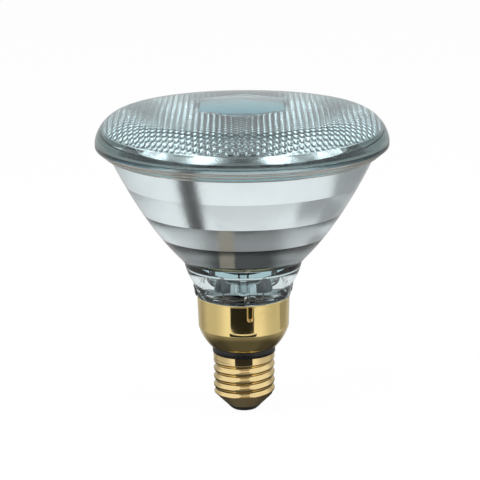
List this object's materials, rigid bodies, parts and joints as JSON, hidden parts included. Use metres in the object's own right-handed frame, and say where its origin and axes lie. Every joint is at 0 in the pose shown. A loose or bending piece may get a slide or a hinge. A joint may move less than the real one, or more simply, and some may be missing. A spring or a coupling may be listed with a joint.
{
  "type": "par spotlight bulb",
  "caption": "Reflector spotlight bulb with a dimpled glass lens, a mirrored glass bowl on a clear neck, a brass skirt, a black insulating ring and a brass screw cap.",
  "frame": {"origin": "flat tip of the centre contact, on the bulb's axis", "axes": "+Z along the bulb's axis from the cap to the lens; +X along the line of the two filament posts"},
  "size_m": [0.1222, 0.1222, 0.1332],
  "materials": {
    "clear_glass": "pressed glass, smooth outside, dimpled inside the lens",
    "mirrored_glass": "pressed glass, aluminised inside above the neck, clear neck",
    "nickel_steel": "plain drawn metal",
    "tungsten": "grey wire",
    "nickel_wire": "bare wire",
    "skirt_brass": "polished",
    "shell_brass": "polished, rolled thread",
    "black_ceramic": "satin black",
    "black_glass": "opaque black glass",
    "solder": "dull solder"
  },
  "bodies": {
    "root": {"lens": "clear_glass", "reflector": "mirrored_glass", "exhaust_tube": "clear_glass", "ferrule_left": "nickel_steel", "ferrule_right": "nickel_steel", "filament_post_left": "nickel_steel", "filament_post_right": "nickel_steel", "filament": "tungsten", "live_lead": "nickel_wire", "neutral_lead": "nickel_wire", "skirt": "skirt_brass", "insulator_ring": "black_ceramic", "screw_shell": "shell_brass", "base_insulator": "black_glass", "centre_contact": "shell_brass", "contact_solder": "solder"}
  },
  "joints": []
}
